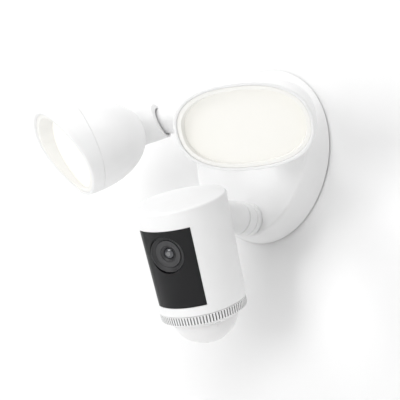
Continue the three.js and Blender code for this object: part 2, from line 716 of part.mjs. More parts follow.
function makeFrontPanel() {
  const wedge = frontWedge(PANEL.halfAngle, PANEL.bottom, PANEL.top);
  const hole = rodY(LENS.ringRadius + GAP, -50, -20, 0, LENS.z);
  return cut(shellWall().intersect(wedge), hole);
}

function makeLensRing() {
  const front = LENS.ringFront;
  const ring = turnedY([
    [LENS.glassRadius + GAP, front + LENS.ringDepth],
    [LENS.ringRadius, front + LENS.ringDepth],
    [LENS.ringRadius, front + LENS.bevel],
    [LENS.ringRadius - LENS.bevel, front],
    [LENS.ringRadius - 2 * LENS.bevel, front],
    [LENS.glassRadius + GAP, front + LENS.setBack],
    [LENS.glassRadius + GAP, front + LENS.ringDepth],
  ]);
  return ring.translate([0, 0, LENS.z]);
}

const BARREL_FRONT = LENS.ringFront + LENS.setBack;

function makeLensBarrel() {
  const front = BARREL_FRONT;
  const barrel = turnedY([
    [0, front + LENS.barrelLength],
    [LENS.glassRadius, front + LENS.barrelLength],
    [LENS.glassRadius, front],
    [LENS.glassRadius - LENS.bevel, front],
    [LENS.elementRadius + 3 * LENS.bevel, front + LENS.funnel],
    [LENS.elementRadius + GAP, front + LENS.funnel],
    [LENS.elementRadius + GAP, front + LENS.seat],
    [0, front + LENS.seat],
  ]);
  return barrel.translate([0, 0, LENS.z]);
}

function makeLensElement() {
  const rear = BARREL_FRONT + LENS.seat - GAP;
  const edge = rear - LENS.elementEdge;
  const profile = [[0, rear], [LENS.elementRadius, rear], [LENS.elementRadius, edge]];
  for (const angle of [30, 60]) {
    const radius = LENS.elementRadius * Math.cos(angle * DEG);
    profile.push([radius, edge - LENS.elementBulge * Math.sin(angle * DEG)]);
  }
  profile.push([0, edge - LENS.elementBulge]);
  return turnedY(profile).translate([0, 0, LENS.z]);
}

function makeVentRing() {
  const top = CAMERA.ventTop;
  const bottom = CAMERA.ventBottom;
  const radius = CAMERA.ventRadius;
  const ring = turned(
    [
      [radius - VENT_RING.wallTop, top],
      [radius, top],
      [radius - VENT_RING.taper, bottom],
      [radius - VENT_RING.taper - VENT_RING.wallBottom, bottom],
      [radius - VENT_RING.wallTop, top],
    ],
    VENT_SLOTS.count,
  );
  const slots = [];
  const middle = (top + bottom) / 2;
  const size = [VENT_SLOTS.reach, VENT_SLOTS.width, VENT_SLOTS.height];
  for (let i = 0; i < VENT_SLOTS.count; i++) {
    const angle = ((i + 0.5) / VENT_SLOTS.count) * 2 * Math.PI;
    const centre = [Math.cos(angle) * radius, Math.sin(angle) * radius, middle];
    const geometry = new THREE.BoxGeometry(...size).rotateZ(angle).translate(...centre);
    slots.push(solid(geometry));
  }
  return cut(ring, ...slots);
}

// The sensor dome hangs under a sloping skirt; inset shrinks it for the inside.
function domeProfile(inset) {
  const edge = CAMERA.ventBottom - GAP;
  const profile = [[CAMERA.skirtRadius - inset, edge]];
  const steps = 6;
  for (let i = 0; i <= steps; i++) {
    const angle = (i / steps) * 90 * DEG;
    const radius = (DOME.radius - inset) * Math.cos(angle) ** DOME.taper;
    const drop = (DOME.top - DOME.bottom - inset) * Math.sin(angle) ** DOME.fullness;
    profile.push([i === steps ? 0 : radius, DOME.top - drop]);
  }
  return profile;
}

function makeDome() {
  return turned([...domeProfile(0).reverse(), ...domeProfile(DOME.wall)]);
}

function makeRearSocket(toArm) {
  const neck = turnedY([
    [0, SOCKET.rootY],
    [SOCKET.rootRadius, SOCKET.rootY],
    [SOCKET.waistRadius, SOCKET.waistY],
    [HOOD.outer, -4],
    [HOOD.outer, 0],
    [0, 0],
  ]);
  const body = unite(neck, ball(HOOD.outer));
  const keepOut = turned([
    [0, CAMERA.top],
    [CAMERA.topRadius + GAP, CAMERA.top],
    [CAMERA.ventRadius + GAP, CAMERA.ventTop],
    [0, CAMERA.ventTop],
  ]).translate([0, CAMERA.axisY, CAMERA.centreZ]);
  const bore = rodY(NECK.boreRadius, 2 * SOCKET.rootY, 0, 0, 0, SEGMENTS.small);
  return openHood(cut(body, keepOut, bore), toArm);
}

function makeSpeaker() {
  const { front, rear, frontRadius, rearRadius, waist, cone } = SPEAKER;
  const basket = turned([
    [0, front],
    [frontRadius, front],
    [rearRadius, waist],
    [rearRadius, rear],
    [0, rear],
  ]);
  const recess = turned([
    [0, front - 1],
    [cone, front - 1],
    [cone, front + 1],
    [cone * 0.4, front + 3.4],
    [0, front + 3.4],
  ]);
  return cut(basket, recess);
}

function makeCamera() {
  const group = new THREE.Group();
  group.position.set(0, CAMERA_BALL.y, CAMERA_BALL.z);
  group.rotation.set(CAMERA.tilt * DEG, 0, CAMERA.pan * DEG, "ZYX");
  const toArm = new THREE.Vector3(0, 1, 0);
  toArm.applyQuaternion(new THREE.Quaternion().setFromEuler(group.rotation).invert());
  group.add(node("camera_rear_socket", makeRearSocket(toArm), WHITE));
  group.add(node("camera_ball_liner", makeLiner(toArm), NYLON));

  const body = new THREE.Group();
  body.position.set(0, CAMERA.axisY, CAMERA.centreZ);
  const add = (name, shape, look) => body.add(node(name, shape, look));
  add("camera_shell", makeCameraShell(), WHITE);
  add("camera_front_panel", makeFrontPanel(), BLACK_GLOSS);
  add("camera_lens_ring", makeLensRing(), BLACK_MATT);
  add("camera_lens_barrel", makeLensBarrel(), BLACK_MATT);
  add("camera_lens_glass", makeLensElement(), GLASS);
  add("camera_vent_ring", makeVentRing(), WHITE);
  add("motion_sensor_dome", makeDome(), WHITE);
  makeMotionSensor(add);
  makeCameraBoards(add);
  add("speaker", makeSpeaker(), BLACK_MATT);
  makeSetupButton(add);
  group.add(body);
  return group;
}

function makeMotionSensor(add) {
  const { radius, bottom } = SENSOR_BOARD;
  const board = rodZ(radius, bottom, bottom + BOARD_THICK, 0, 0, SEGMENTS.hole);
  add("motion_sensor_board", board, BOARD_GREEN);
  const can = rodZ(SENSOR.radius, SENSOR.bottom, bottom - GAP, 0, 0, SEGMENTS.small);
  add("motion_sensor", can, STEEL);
}

function makeCameraBoards(add) {
  const { width, height, y } = IMAGE_BOARD;
  add("image_board", box([width, BOARD_THICK, height], [0, y, LENS.z]), BOARD_GREEN);
  const night = NIGHT_LIGHT;
  for (const side of [-1, 1]) {
    const name = side < 0 ? "left" : "right";
    const plate = box([night.width, BOARD_THICK, night.height], [side * night.x, night.y, night.z]);
    const led = box(night.led, [side * night.x, night.y - BOARD_THICK, night.ledZ]);
    add("night_light_board_" + name, unite(plate, led), BOARD_GREEN);
  }
  const mainSize = [MAIN_BOARD.width, BOARD_THICK, MAIN_BOARD.height];
  add("main_board", box(mainSize, [0, MAIN_BOARD.y, MAIN_BOARD.z]), BOARD_GREEN);
  const spreaderY = MAIN_BOARD.y - BOARD_THICK / 2 - GAP - HEAT_SPREADER.size[1] / 2;
  add("heat_spreader", box(HEAT_SPREADER.size, [0, spreaderY, HEAT_SPREADER.z]), ALUMINIUM);
}

// The button's cap in the shell's back, and the switch that it presses.
function makeSetupButton(add) {
  const capRear = BUTTON.face - BUTTON.thick;
  const cap = rodY(BUTTON.radius, capRear, BUTTON.face, 0, BUTTON.z, SEGMENTS.hole);
  add("setup_button", cap, WHITE);
  const seat = MAIN_BOARD.y + BOARD_THICK / 2 + GAP;
  const depth = SWITCH.size[1];
  const stemEnd = capRear - BUTTON.travel - GAP;
  const switchBody = box(SWITCH.size, [0, seat + depth / 2, BUTTON.z]);
  const stem = rodY(SWITCH.stemRadius, seat + depth / 2, stemEnd, 0, BUTTON.z, SEGMENTS.small);
  add("setup_switch", unite(switchBody, stem), SWITCH_GREY);
}

// ---------------------------------------------------------------- assembly
const floodlightCamera = new THREE.Group();
floodlightCamera.add(makeBase());
for (const side of [-1, 1]) {
  const name = side < 0 ? "left" : "right";
  floodlightCamera.add(node(name + "_arm", makeLampArm(side), WHITE));
  floodlightCamera.add(node(name + "_arm_nut", makeArmNut(side * ARM.rootX, ARM.rootZ), NYLON));
  floodlightCamera.add(makeLamp(side));
}
floodlightCamera.add(node("camera_arm", makeCameraArm(), WHITE));
floodlightCamera.add(node("camera_arm_collar", makeCameraCollar(), WHITE));
floodlightCamera.add(node("camera_arm_nut", makeArmNut(0, CAMERA_BALL.z), NYLON));
floodlightCamera.add(makeCamera());

export default floodlightCamera;
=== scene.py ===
"""Floodlight security camera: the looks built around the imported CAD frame.

Shapes are worked out in millimetres, each in its own piece's frame, and put in place in metres in the
row's frame: +Z up, the wall at Y = 0, the front towards -Y.
"""
import json
import math

import bmesh
import bpy
from mathutils import Matrix, Vector


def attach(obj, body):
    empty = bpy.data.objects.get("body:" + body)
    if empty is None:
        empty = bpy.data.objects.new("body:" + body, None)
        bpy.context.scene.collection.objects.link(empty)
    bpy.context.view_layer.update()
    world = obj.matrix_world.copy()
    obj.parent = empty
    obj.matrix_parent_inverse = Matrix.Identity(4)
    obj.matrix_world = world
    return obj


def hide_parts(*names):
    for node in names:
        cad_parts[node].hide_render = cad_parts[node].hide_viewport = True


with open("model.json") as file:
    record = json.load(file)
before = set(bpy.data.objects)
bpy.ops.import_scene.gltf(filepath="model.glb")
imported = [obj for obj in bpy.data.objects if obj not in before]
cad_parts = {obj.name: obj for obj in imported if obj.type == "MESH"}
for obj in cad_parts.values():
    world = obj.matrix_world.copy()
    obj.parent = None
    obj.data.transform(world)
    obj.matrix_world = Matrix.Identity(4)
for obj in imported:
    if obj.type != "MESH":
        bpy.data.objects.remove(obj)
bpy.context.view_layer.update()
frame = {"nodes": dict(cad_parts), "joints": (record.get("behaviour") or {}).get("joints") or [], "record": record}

MM = 0.001
DEG = math.pi / 180
JOINTS = {joint["name"]: joint for joint in frame["joints"]}


# ---------------------------------------------------------------- camera
# The photograph's view: azimuth and elevation round the middle of the base, and how far off it is.
VIEW = {"azimuth": 38.0, "elevation": -8.572, "distance": 1.1024, "lens": 124.5}
# Where the camera looks, as slopes right of and above the target; negative is left and below.
AIM_RIGHT = -0.0470
AIM_UP = -0.0140
BASE_TARGET = Vector((0, 0, -0.015))


def make_camera():
    azimuth = VIEW["azimuth"] * DEG
    elevation = VIEW["elevation"] * DEG
    level = math.cos(elevation)
    back = Vector((math.sin(azimuth) * level, -math.cos(azimuth) * level, math.sin(elevation)))
    right = Vector((math.cos(azimuth), math.sin(azimuth), 0))
    up = back.cross(right)
    aim = (-back + right * AIM_RIGHT + up * AIM_UP).normalized()
    turn = (-back).rotation_difference(aim).to_matrix()
    axes = Matrix((turn @ right, turn @ up, -aim)).transposed()
    data = bpy.data.cameras.new("view_camera")
    data.lens = VIEW["lens"]
    data.sensor_width = 36
    data.clip_start = 0.05
    data.clip_end = 30
    camera = bpy.data.objects.new("view_camera", data)
    place = BASE_TARGET + back * VIEW["distance"]
    camera.matrix_world = Matrix.Translation(place) @ axes.to_4x4()
    bpy.context.scene.collection.objects.link(camera)
    bpy.context.scene.camera = camera


make_camera()


# ---------------------------------------------------------------- materials
class Nodes:
    """A short way to write a material's node graph."""

    def __init__(self, name):
        self.material = bpy.data.materials.new(name)
        self.material.use_nodes = True
        self.tree = self.material.node_tree
        self.tree.nodes.clear()
        self.output = self.add("ShaderNodeOutputMaterial")
        self.place = self.add("ShaderNodeTexCoord").outputs["Object"]

    def add(self, kind, **values):
        node = self.tree.nodes.new(kind)
        for key, value in values.items():
            setattr(node, key, value)
        return node

    def link(self, source, target):
        self.tree.links.new(source, target)

    def noise(self, scale, detail=3.0, rough=0.5):
        node = self.add("ShaderNodeTexNoise")
        node.inputs["Scale"].default_value = scale
        node.inputs["Detail"].default_value = detail
        node.inputs["Roughness"].default_value = rough
        self.link(self.place, node.inputs["Vector"])
        return node.outputs["Fac"]

    def remap(self, source, low, high, source_low=0.3, source_high=0.7):
        node = self.add("ShaderNodeMapRange")
        node.inputs["From Min"].default_value = source_low
        node.inputs["From Max"].default_value = source_high
        node.inputs["To Min"].default_value = low
        node.inputs["To Max"].default_value = high
        self.link(source, node.inputs["Value"])
        return node.outputs["Result"]

    def blend(self, share, first, second):
        """Mixes two colours by share."""
        node = self.add("ShaderNodeMix", data_type="RGBA")
        node.inputs["A"].default_value = (*first, 1)
        node.inputs["B"].default_value = (*second, 1)
        self.link(share, node.inputs["Factor"])
        return node.outputs["Result"]

    def bump(self, height, distance, strength=1.0, under=None):
        node = self.add("ShaderNodeBump")
        node.inputs["Strength"].default_value = strength
        node.inputs["Distance"].default_value = distance
        self.link(height, node.inputs["Height"])
        if under is not None:
            self.link(under, node.inputs["Normal"])
        return node.outputs["Normal"]

    def shader(self, **values):
        node = self.add("ShaderNodeBsdfPrincipled")
        for key, value in values.items():
            node.inputs[key.replace("_", " ")].default_value = value
        self.link(node.outputs["BSDF"], self.output.inputs["Surface"])
        return node


def shade(color, factor):
    return tuple(channel * factor for channel in color)


def moulded(name, color, roughness, grain=2600, depth=0.00002, cloud=0.04, **extra):
    """Moulded plastic: a fine spark-eroded grain, faint flow waves and a little handling dirt."""
    n = Nodes(name)
    shader = n.shader(**extra)
    tone = n.remap(n.noise(28, 4), 0, 1)
    n.link(n.blend(tone, color, shade(color, 1 - cloud)), shader.inputs["Base Color"])
    smudge = n.remap(n.noise(75, 5, 0.6), roughness - 0.05, roughness + 0.07)
    n.link(smudge, shader.inputs["Roughness"])
    waves = n.bump(n.noise(45, 1), 0.0004, 0.08)
    n.link(n.bump(n.noise(grain, 2), depth, 0.35, waves), shader.inputs["Normal"])
    return n.material


def metal(name, color, roughness, along=(1, 1, 40)):
    """Plated or cast metal with a drawn grain and a few duller patches."""
    n = Nodes(name)
    shader = n.shader(Metallic=1.0)
    stretch = n.add("ShaderNodeMapping")
    stretch.inputs["Scale"].default_value = along
    n.link(n.place, stretch.inputs["Vector"])
    lines = n.add("ShaderNodeTexNoise")
    lines.inputs["Scale"].default_value = 90
    lines.inputs["Detail"].default_value = 4
    n.link(stretch.outputs["Vector"], lines.inputs["Vector"])
    patches = n.remap(n.noise(120, 4), 0, 1)
    n.link(n.blend(patches, color, shade(color, 0.82)), shader.inputs["Base Color"])
    n.link(n.remap(lines.outputs["Fac"], roughness, roughness + 0.2), shader.inputs["Roughness"])
    n.link(n.bump(lines.outputs["Fac"], 0.00005, 0.4), shader.inputs["Normal"])
    return n.material


def foam(name, color):
    """Closed-cell foam: small round pores."""
    n = Nodes(name)
    shader = n.shader(Roughness=0.92)
    cells = n.add("ShaderNodeTexVoronoi")
    cells.inputs["Scale"].default_value = 900
    n.link(n.place, cells.inputs["Vector"])
    pores = n.remap(cells.outputs["Distance"], 0, 1, 0.1, 0.6)
    n.link(n.blend(pores, shade(color, 0.5), color), shader.inputs["Base Color"])
    n.link(n.bump(pores, 0.0003, 0.6), shader.inputs["Normal"])
    return n.material


def circuit_board(name, color):
    """Solder mask over tracks, with bare pads."""
    n = Nodes(name)
    shader = n.shader(Roughness=0.38)
    tracks = n.add("ShaderNodeTexBrick")
    tracks.inputs["Scale"].default_value = 220
    tracks.inputs["Mortar Size"].default_value = 0.06
    n.link(n.place, tracks.inputs["Vector"])
    lines = tracks.outputs["Fac"]
    n.link(n.blend(lines, color, shade(color, 1.9)), shader.inputs["Base Color"])
    n.link(n.bump(lines, 0.00008, 0.5), shader.inputs["Normal"])
    return n.material


def lamp_glow(name):
    """Frosted lens lit from behind: brightest in the middle, warmer towards the edge."""
    n = Nodes(name)
    shader = n.shader(Roughness=0.32, Emission_Strength=GLOW_STRENGTH)
    glow = n.add("ShaderNodeAttribute", attribute_name="glow")
    mottle = n.remap(n.noise(140, 3), -0.05, 0.05)
    mixed = n.add("ShaderNodeMath", operation="ADD", use_clamp=True)
    n.link(glow.outputs["Fac"], mixed.inputs[0])
    n.link(mottle, mixed.inputs[1])
    n.link(n.blend(mixed.outputs["Value"], GLOW_EDGE, GLOW_MIDDLE), shader.inputs["Emission Color"])
    n.link(n.blend(mottle, (0.34, 0.335, 0.31), (0.37, 0.365, 0.34)), shader.inputs["Base Color"])
    n.link(n.bump(n.noise(900, 2), 0.00006, 0.4), shader.inputs["Normal"])
    return n.material


GLOW_STRENGTH = 0.56
GLOW_EDGE = (0.93, 0.915, 0.85)
GLOW_MIDDLE = (1.0, 0.99, 0.96)
WHITE = (0.80, 0.80, 0.80)

MATERIALS = {
    "white_housing": moulded("moulded_white", WHITE, 0.36),
    "sensor_dome": moulded(
        "milky_dome", (0.78, 0.775, 0.775), 0.3, 1800, 0.00001, 0.03,
        Subsurface_Weight=0.35, Subsurface_Scale=0.004, Subsurface_Radius=(1.0, 1.0, 1.0),
    ),
    # The bezel's faint warm emission is painted light: it stands in for the lamp's own light falling on the bezel,
    # which gives no light itself.
    "lamp_bezel": moulded(
        "bezel_white_painted_glow", (0.79, 0.785, 0.76), 0.42,
        Emission_Color=(1.0, 0.97, 0.9, 1.0), Emission_Strength=0.06,
    ),
    "lamp_lens": lamp_glow("frosted_lens"),
    "reflector": moulded("reflector_white", (0.85, 0.85, 0.83), 0.2, 900),
    "led_board": circuit_board("white_solder_mask", (0.4, 0.4, 0.38)),
    "inner_plastic": moulded("inner_grey", (0.6, 0.6, 0.58), 0.55, 1500, 0.00004, 0.08),
    "black_panel": moulded(
        "polished_black", (0.006, 0.006, 0.007), 0.16, 700, 0.000004, 0.2,
        Specular_IOR_Level=0.25,
    ),
    "black_matt": moulded("matt_black", (0.03, 0.03, 0.032), 0.5, 2200, 0.00003, 0.15),
    "lens_glass": moulded(
        "coated_glass", (0.03, 0.031, 0.034), 0.07, 500, 0.000002, 0.3,
        Coat_Weight=1.0, Coat_Roughness=0.03, Coat_Tint=(0.93, 0.95, 1.0, 1.0),
    ),
    "steel": metal("zinc_steel", (0.55, 0.56, 0.58), 0.32),
    "ground_green": metal("green_plating", (0.06, 0.3, 0.13), 0.35),
    "aluminium": metal("cast_aluminium", (0.6, 0.61, 0.63), 0.42, (1, 1, 1)),
    "silicone_seal": moulded("pale_silicone", (0.7, 0.7, 0.69), 0.55, 1400, 0.00002, 0.05),
    "rubber_seal": foam("gasket_foam", (0.035, 0.035, 0.037)),
    "circuit_board": circuit_board("green_solder_mask", (0.02, 0.13, 0.06)),
    "iron_core": moulded("varnished_core", (0.06, 0.055, 0.05), 0.5, 1200, 0.00006, 0.3),
    "nylon": moulded("natural_nylon", (0.5, 0.51, 0.52), 0.45, 1600, 0.00003, 0.06),
    "grey_plastic": moulded("moulded_grey", (0.2, 0.205, 0.21), 0.48),
}
SHADOW_LINE = moulded("slot_shadow", (0.42, 0.42, 0.42), 0.7)


def dress_cad_nodes():
    """Every CAD node starts with the material of its slot; the pieces below replace what shows."""
    for entry in frame["record"]["subparts"]:
        cad = frame["nodes"][entry["node"]]
        cad.data.materials.clear()
        cad.data.materials.append(MATERIALS[entry["material_slot"]])


dress_cad_nodes()


# ---------------------------------------------------------------- mesh tools
def rings_to_mesh(rings, wrap=False):
    """Quads between rings of points in millimetres. wrap joins the last ring to the first."""
    shape = bmesh.new()
    rows = [[shape.verts.new(point) for point in ring] for ring in rings]
    pairs = list(zip(rows, rows[1:]))
    if wrap:
        pairs.append((rows[-1], rows[0]))
    count = len(rings[0])
    for near, far in pairs:
        for i in range(count):
            j = (i + 1) % count
            shape.faces.new((near[i], near[j], far[j], far[i]))
    bmesh.ops.remove_doubles(shape, verts=shape.verts, dist=1e-4)
    return shape


def finish_piece(name, shape, place, body, slot_name, nodes=(), bevel=0.4, crease=32):
    """Makes the object: in place, shaded, bevelled, with its body, material slot and CAD nodes."""
    bmesh.ops.recalc_face_normals(shape, faces=shape.faces)
    bmesh.ops.transform(shape, matrix=place @ Matrix.Scale(MM, 4), verts=shape.verts)
    mesh = bpy.data.meshes.new(name)
    shape.to_mesh(mesh)
    shape.free()
    mesh.shade_smooth()
    mesh.set_sharp_from_angle(angle=crease * DEG)
    piece = bpy.data.objects.new(name, mesh)
    bpy.context.scene.collection.objects.link(piece)
    mesh.materials.append(MATERIALS[slot_name])
    if bevel:
        edge = piece.modifiers.new("edges", "BEVEL")
        edge.width = bevel * MM
        edge.segments = 3
        edge.limit_method = "ANGLE"
        edge.angle_limit = crease * DEG
        edge.harden_normals = True
    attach(piece, body)
    if nodes:
        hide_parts(*nodes)
    return piece


def lathe(profile, axis="Z", count=96, centre=(0, 0, 0)):
    """Rings round an axis from (radius, height) pairs."""
    rings = []
    for radius, height in profile:
        ring = []
        for i in range(count):
            angle = 2 * math.pi * i / count
            across, along = radius * math.cos(angle), radius * math.sin(angle)
            point = (across, along, height) if axis == "Z" else (across, height, along)
            ring.append(Vector(point) + Vector(centre))
        rings.append(ring)
    return rings


def arc(radius, start, end, steps, across=0.0, height=0.0):
    """(radius, height) pairs along an arc of a circle, for a lathe's rounded parts."""
    pairs = []
    for i in range(steps + 1):
        angle = (start + (end - start) * i / steps) * DEG
        pairs.append((across + radius * math.cos(angle), height + radius * math.sin(angle)))
    return pairs


def join(*shapes):
    """One bmesh from several."""
    whole = bmesh.new()
    for shape in shapes:
        part = bpy.data.meshes.new("part")
        shape.to_mesh(part)
        shape.free()
        whole.from_mesh(part)
        bpy.data.meshes.remove(part)
    return whole


def drill(shape, tool):
    """The first bmesh with the second cut out of it."""
    pair = []
    for part in (shape, tool):
        bmesh.ops.recalc_face_normals(part, faces=part.faces)
        mesh = bpy.data.meshes.new("part")
        part.to_mesh(mesh)
        part.free()
        pair.append(bpy.data.objects.new("part", mesh))
        bpy.context.scene.collection.objects.link(pair[-1])
    cut = pair[0].modifiers.new("cut", "BOOLEAN")
    cut.operation = "DIFFERENCE"
    cut.solver = "EXACT"
    cut.object = pair[1]
    left = bmesh.new()
    left.from_object(pair[0], bpy.context.evaluated_depsgraph_get())
    for thing in pair:
        bpy.data.meshes.remove(thing.data)
    return left


def spread(start, end, steps):
    """Evenly spaced values from start to end, both included."""
    return [start + (end - start) * i / steps for i in range(steps + 1)]


ROW = Matrix.Identity(4)  # the row's own frame


# ---------------------------------------------------------------- base
BASE = {
    "depth": 20.0,
    "wall": 2.4,
    "edge": 1.5,
    "rear": 0.6,
    "crown": 3.2,
    "back": {"half_width": 63.3, "half_height": 70.0, "centre": 4.5, "egg": 0.042},
    "front": {"half_width": 54.2, "half_height": 56.5, "centre": -4.6, "egg": 0.149},
}
BASE_POINTS = 144


def base_ring(distance, inset=0.0, shrink=1.0):
    """The egg outline at a distance from the wall; shrink draws it in towards its middle."""
    share = distance / BASE["depth"]
    size = {key: (1 - share) * BASE["back"][key] + share * BASE["front"][key] for key in BASE["back"]}
    swell = BASE["crown"] * share * (1 - share) - inset
    ring = []
    for i in range(BASE_POINTS):
        angle = 2 * math.pi * i / BASE_POINTS
        bulge = 1 + size["egg"] * math.sin(angle)
        x = (size["half_width"] + swell) * math.cos(angle) * bulge * shrink
        z = size["centre"] + (size["half_height"] + swell) * math.sin(angle) * shrink
        ring.append(Vector((x, -distance, z)))
    return ring


def make_base_cover():
    straight = BASE["depth"] - BASE["edge"]
    rings = [base_ring(distance) for distance in spread(BASE["rear"], straight, 10)]
    for i in range(1, 7):
        angle = 90 * DEG * i / 6
        back = BASE["edge"] * (1 - math.cos(angle))
        rings.append(base_ring(straight + BASE["edge"] * math.sin(angle), back))
    flat = [0.9, 0.75, 0.5, 0.25, 0.0]
    rings += [base_ring(BASE["depth"], BASE["edge"], shrink) for shrink in flat]
    front = BASE["depth"] - BASE["wall"]
    rings += [base_ring(front, BASE["wall"], shrink) for shrink in reversed(flat)]
    rings += [base_ring(distance, BASE["wall"]) for distance in spread(front, BASE["rear"], 10)]
    shape = rings_to_mesh(rings, wrap=True)
    finish_piece("base_cover_shell", shape, ROW, "base", "white_housing", ["base_cover"], bevel=0.3)


make_base_cover()


# ---------------------------------------------------------------- arms
ARM = {
    "root_x": 24.0,
    "root_z": 20.0,
    "root_radius": 12.6,
    "shoulder": 3.0,
    "flange": 15.0,
    "flange_thick": 3.0,
}
ARM_PULL = {"leave": 18.0, "arrive": 22.0}
ARM_END = Vector((0.78, 0.61, 0.12)).normalized()
BALL = 11.0
SPIGOT = {"radius": 8.0, "depth": 8.0}
FACE = -BASE["depth"] - 0.3


def bezier(points, share):
    rest = 1 - share
    weights = (rest ** 3, 3 * rest ** 2 * share, 3 * rest * share ** 2, share ** 3)
    return sum((point * weight for point, weight in zip(points, weights)), Vector())


def tube(centres, radii, count=72):
    """Rings round a path, each square to it, without twist."""
    rings = []
    side = Vector((0, 0, 1))
    for i, (centre, radius) in enumerate(zip(centres, radii)):
        before, after = centres[max(i - 1, 0)], centres[min(i + 1, len(centres) - 1)]
        ahead = (after - before).normalized()
        side = (side - ahead * side.dot(ahead)).normalized()
        other = ahead.cross(side)
        turns = [2 * math.pi * k / count for k in range(count)]
        rings.append([centre + (side * math.cos(a) + other * math.sin(a)) * radius for a in turns])
    return rings


def make_lamp_arm(side, name):
    ball = Vector(JOINTS[name + "_lamp_pan"]["pos_m"]) / MM
    inward = Vector((-side * ARM_END.x, ARM_END.y, ARM_END.z))
    root = Vector((side * ARM["root_x"], FACE - ARM["flange_thick"] / 2, ARM["root_z"]))
    pull = [root, root + Vector((0, -ARM_PULL["leave"], 0)), ball + inward * ARM_PULL["arrive"], ball]
    shares = [i / 36 for i in range(37)]
    centres = [bezier(pull, share) for share in shares]
    swell = ARM["root_radius"] - BALL
    radii = [BALL + swell * math.sqrt(1 - share ** ARM["shoulder"]) for share in shares]
    rings = tube(centres, radii)
    body = rings_to_mesh([[centres[0]] * len(rings[0])] + rings + [[ball] * len(rings[0])])
    globe = rings_to_mesh(lathe(arc(BALL, -90, 90, 32), "Z", 72, ball))
    front = FACE - ARM["flange_thick"]
    flange = [
        (0, FACE + SPIGOT["depth"]), (SPIGOT["radius"], FACE + SPIGOT["depth"]),
        (SPIGOT["radius"], FACE), (ARM["flange"] - 0.3, FACE), (ARM["flange"], FACE - 0.3),
    ]
    flange += arc(1.4, 0, -90, 6, ARM["flange"] - 1.4, front + 1.4)
    flange += [(ARM["root_radius"] + 0.5, front), (ARM["root_radius"] - 1, front), (0, front)]
    foot = rings_to_mesh(lathe(flange, "Y", 72, (root.x, 0, root.z)))
    shape = join(body, globe, foot)
    finish_piece(name + "_curved_arm", shape, ROW, "base", "white_housing", [name + "_arm"], 0.3)


COLLAR = {"radius": 13.0, "length": 14.0, "groove": 0.7, "groove_at": 5.6}
SHAFT = {"radius": 12.5, "length": 12.0}


def make_camera_arm():
    ball = Vector(JOINTS["camera_pan"]["pos_m"]) / MM
    foot = FACE - COLLAR["length"] - 0.3
    profile = [
        (0, FACE + SPIGOT["depth"]), (SPIGOT["radius"], FACE + SPIGOT["depth"]),
        (SPIGOT["radius"], foot), (SHAFT["radius"] - 0.3, foot), (SHAFT["radius"], foot - 0.3),
        (SHAFT["radius"], foot - SHAFT["length"]),
    ]
    profile += [(BALL * math.cos(a * DEG), ball.y - BALL * math.sin(a * DEG)) for a in range(0, 91, 6)]
    shape = rings_to_mesh(lathe(profile, "Y", 72, (0, 0, ball.z)))
    finish_piece("camera_ball_arm", shape, ROW, "base", "white_housing", ["camera_arm"], 0.25)

    radius, groove = COLLAR["radius"], COLLAR["groove"]
    front, at = FACE - COLLAR["length"], FACE - COLLAR["groove_at"]
    bore = SPIGOT["radius"] + 0.3
    sleeve = [(bore, FACE), (radius - 0.2, FACE), (radius, FACE - 0.2), (radius, at + groove)]
    sleeve += [(radius - groove, at + groove / 2), (radius - groove, at - groove / 2)]
    sleeve += [(radius, at - groove), (radius, front + 1.2)]
    sleeve += arc(1.2, 0, -90, 6, radius - 1.2, front + 1.2) + [(bore, front)]
    shape = rings_to_mesh(lathe(sleeve, "Y", 72, (0, 0, ball.z)), wrap=True)
    finish_piece("camera_arm_sleeve", shape, ROW, "base", "white_housing", ["camera_arm_collar"], 0.2)


make_lamp_arm(-1, "left")
make_lamp_arm(1, "right")
make_camera_arm()


# ---------------------------------------------------------------- lamp heads
LAMP_POSE = {"left": (39.4, 17.7, 11.9), "right": (27.3, 19.1, -4.2)}
LAMP = {
    "rim_y": -87.4,
    "rim_z": -5.4,
    "half_width": 48.9,
    "half_height": 32.6,
    "roundness": 2.38,
    "depth": 66.3,
    "shoulder": 2.61,
    "tail": 2.04,
    "wall": 2.6,
}
# Planes across a head: how deep behind the rim's centre, and how far the top leans forward.
RIM = {"depth": 0.0, "lean": 24.3}
LENS_PLANE = {"depth": 7.5, "lean": 16.0}
SEAM = {"depth": 18.9, "lean": 8.8}
NECK = {"root": 15.4, "root_y": -34.0, "waist": 14.8, "waist_y": -18.0, "bore": 6.5}
HOOD = {"inner": 12.6, "outer": 14.0, "set_back": 4.6}
MOUTH = Vector((0.485, 0.874, 0)).normalized()
LENS_THICK = 2.0
LENS_CROWN = 1.6
GLOW_FALL = 3.2
SEAM_HALF = 0.06
OVAL_POINTS = 128
BEZEL = {"gap": 0.05, "thick": 2.8, "set_back": 0.9}
# The rim's rounded lip: how far in from the outside, and how far behind the rim's plane.
RIM_LIP = [(0.1, 0.6), (0.3, 0.3), (0.6, 0.1), (1.0, 0.0), (1.6, 0.0), (2.0, 0.1), (2.3, 0.3), (2.5, 0.6)]


def lamp_place(side, name):
    """From the lamp's own frame, with its ball at the origin, to the row's."""
    pan, tilt, roll = (angle * DEG for angle in LAMP_POSE[name])
    turn = Matrix.Rotation(side * pan, 4, "Z") @ Matrix.Rotation(tilt, 4, "X")
    turn = turn @ Matrix.Rotation(side * roll, 4, "Y")
    return Matrix.Translation(JOINTS[name + "_lamp_pan"]["pos_m"]) @ turn


def bowl_scale(depth, inset):
    """How much of its full width the head has at a depth behind the rim."""
    share = min(max(depth, 0) / (LAMP["depth"] - inset), 1)
    return (1 - share ** LAMP["shoulder"]) ** (1 / LAMP["tail"])


